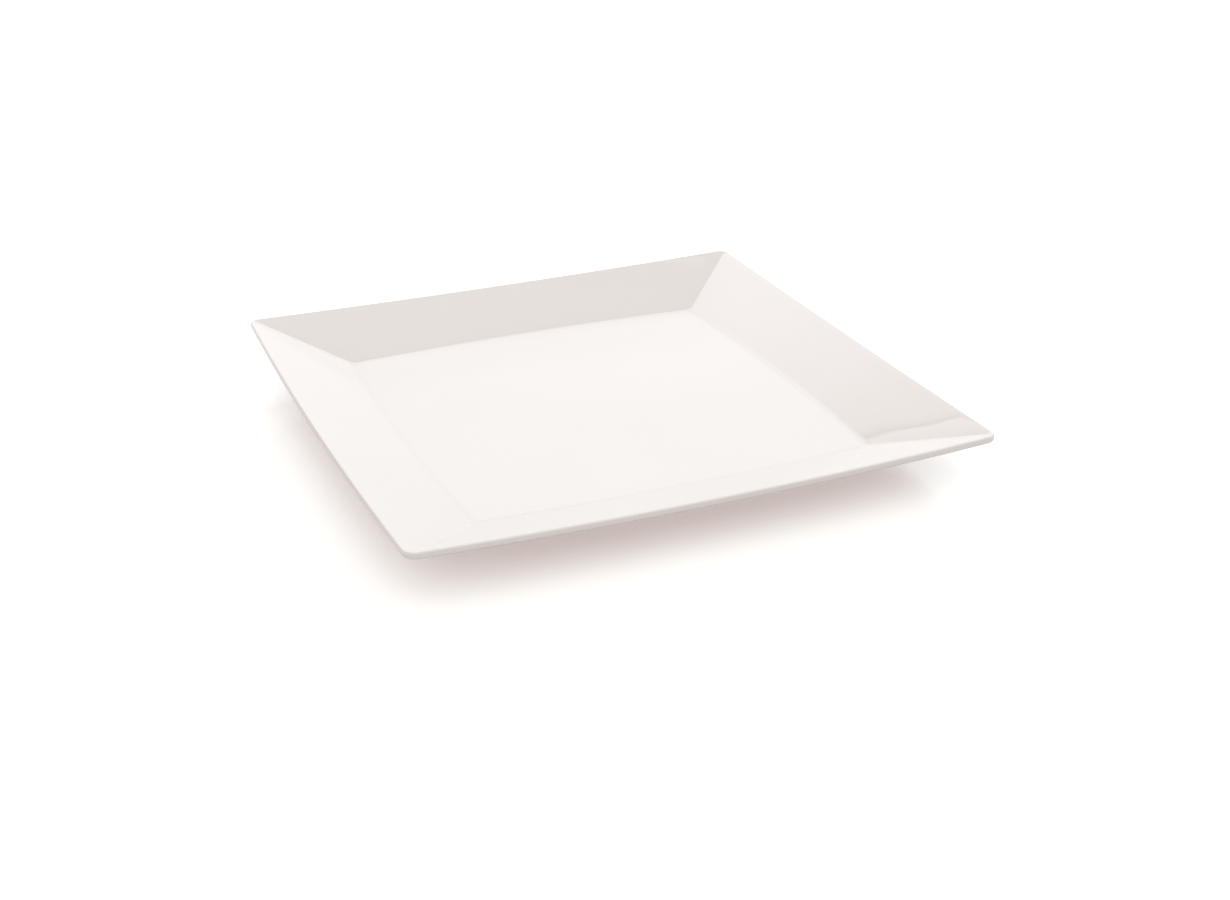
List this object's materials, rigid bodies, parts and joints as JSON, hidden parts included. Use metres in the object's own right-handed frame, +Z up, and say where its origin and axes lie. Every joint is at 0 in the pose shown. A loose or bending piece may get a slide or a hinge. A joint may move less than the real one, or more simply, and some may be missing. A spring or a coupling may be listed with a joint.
{
  "type": "square dinner plate",
  "caption": "Square glazed porcelain dinner plate with a flat well, sloping rim sides that meet in mitred corners, a thin rounded edge and a bare foot ring.",
  "frame": {"origin": "middle of the plate in the plane that it stands on, at the bottom of the foot ring", "axes": "+Z up out of the well, X and Y square to the plate's sides, with -Y the front side in the picture"},
  "size_m": [0.26, 0.26, 0.0222],
  "materials": {
    "fired_porcelain": "fired and ground, unglazed and matt",
    "clear_glaze": "glossy fused glaze on warm white porcelain"
  },
  "bodies": {
    "root": {"porcelain_body": "fired_porcelain", "face_glaze": "clear_glaze", "recess_glaze": "clear_glaze"}
  },
  "joints": []
}
